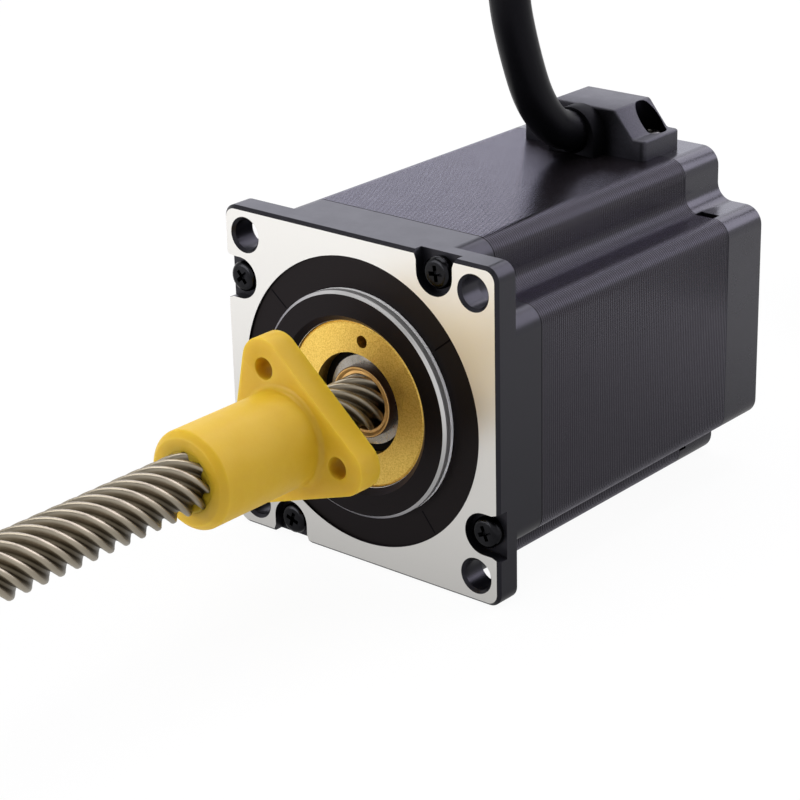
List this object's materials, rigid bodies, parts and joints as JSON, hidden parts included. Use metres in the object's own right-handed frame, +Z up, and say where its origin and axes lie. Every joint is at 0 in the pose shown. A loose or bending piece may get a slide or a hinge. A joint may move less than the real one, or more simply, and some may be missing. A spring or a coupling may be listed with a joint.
{
  "type": "external linear stepper motor",
  "caption": "Square-flanged linear stepper motor with a long multi-start lead screw, a three-cornered flanged drive nut and a clamped round cable.",
  "frame": {"origin": "centre of the mounting face, on the axis of the lead screw and the pilot", "axes": "+Y into the motor along the screw's axis (the screw points to -Y), +Z up with the cable clamp on top, +X to the right seen from the screw's end"},
  "size_m": [0.0894, 0.3115, 0.1404],
  "materials": {
    "cap_black": "black coat with a machined mounting face",
    "lamination_black": "glossy black coat on a laminated stack",
    "insulator_white": "moulded",
    "winding_copper": "enamelled copper wire",
    "board_green": "laminate board",
    "lead_plastic": "insulated conductors",
    "bearing_steel": "ground",
    "retainer_brass": "satin",
    "screw_black": "black oxide",
    "screw_zinc": "zinc plate",
    "sleeve_bronze": "turned",
    "lead_screw_steel": "rolled thread",
    "rotor_steel": "ground teeth",
    "magnet_dark": "ground",
    "spacer_aluminium": "turned",
    "nut_yellow": "machined plastic",
    "clamp_plastic": "moulded, fine grain",
    "grommet_rubber": "moulded",
    "cable_jacket": "matte jacket",
    "tie_plastic": "strap"
  },
  "bodies": {
    "motor": {"front_cap": "cap_black", "stator_stack": "lamination_black", "rear_cap": "cap_black", "front_insulator": "insulator_white", "rear_insulator": "insulator_white", "connection_board": "board_green", "inner_leads": "lead_plastic", "front_bearing_outer": "bearing_steel", "front_bearing_balls": "bearing_steel", "front_bearing_shields": "bearing_steel", "rear_bearing_outer": "bearing_steel", "rear_bearing_balls": "bearing_steel", "preload_washer": "bearing_steel", "bearing_retainer": "retainer_brass", "tie_screws": "screw_black", "cable_clamp": "clamp_plastic", "clamp_screws": "screw_zinc", "cable_grommet": "grommet_rubber", "cable": "cable_jacket", "cable_coil": "cable_jacket", "coil_tie": "tie_plastic", "flying_leads": "lead_plastic", "coil_1": "winding_copper", "coil_2": "winding_copper", "coil_3": "winding_copper", "coil_4": "winding_copper", "coil_5": "winding_copper", "coil_6": "winding_copper", "coil_7": "winding_copper", "coil_8": "winding_copper"},
    "rotor": {"lead_screw": "lead_screw_steel", "rotor_sleeve": "sleeve_bronze", "front_bearing_inner": "bearing_steel", "rear_bearing_inner": "bearing_steel", "rotor_spacer_1": "spacer_aluminium", "rotor_cup_1": "rotor_steel", "rotor_cup_2": "rotor_steel", "rotor_cup_3": "rotor_steel", "rotor_cup_4": "rotor_steel", "rotor_magnet_1": "magnet_dark", "rotor_magnet_2": "magnet_dark"},
    "nut": {"drive_nut": "nut_yellow"}
  },
  "joints": [
    {"name": "rotor_spin", "type": "hinge", "parent": "motor", "child": "rotor", "pos_m": [0, 0, 0], "axis": [0, 1, 0], "range_deg": [-141, 850]},
    {"name": "nut_travel", "type": "slide", "parent": "motor", "child": "nut", "axis": [0, -1, 0], "range_m": [-0.01, 0.06]}
  ],
  "couplings": [
    {"joint": "nut_travel", "follows": "rotor_spin", "m_per_rad": 0.0040425}
  ]
}
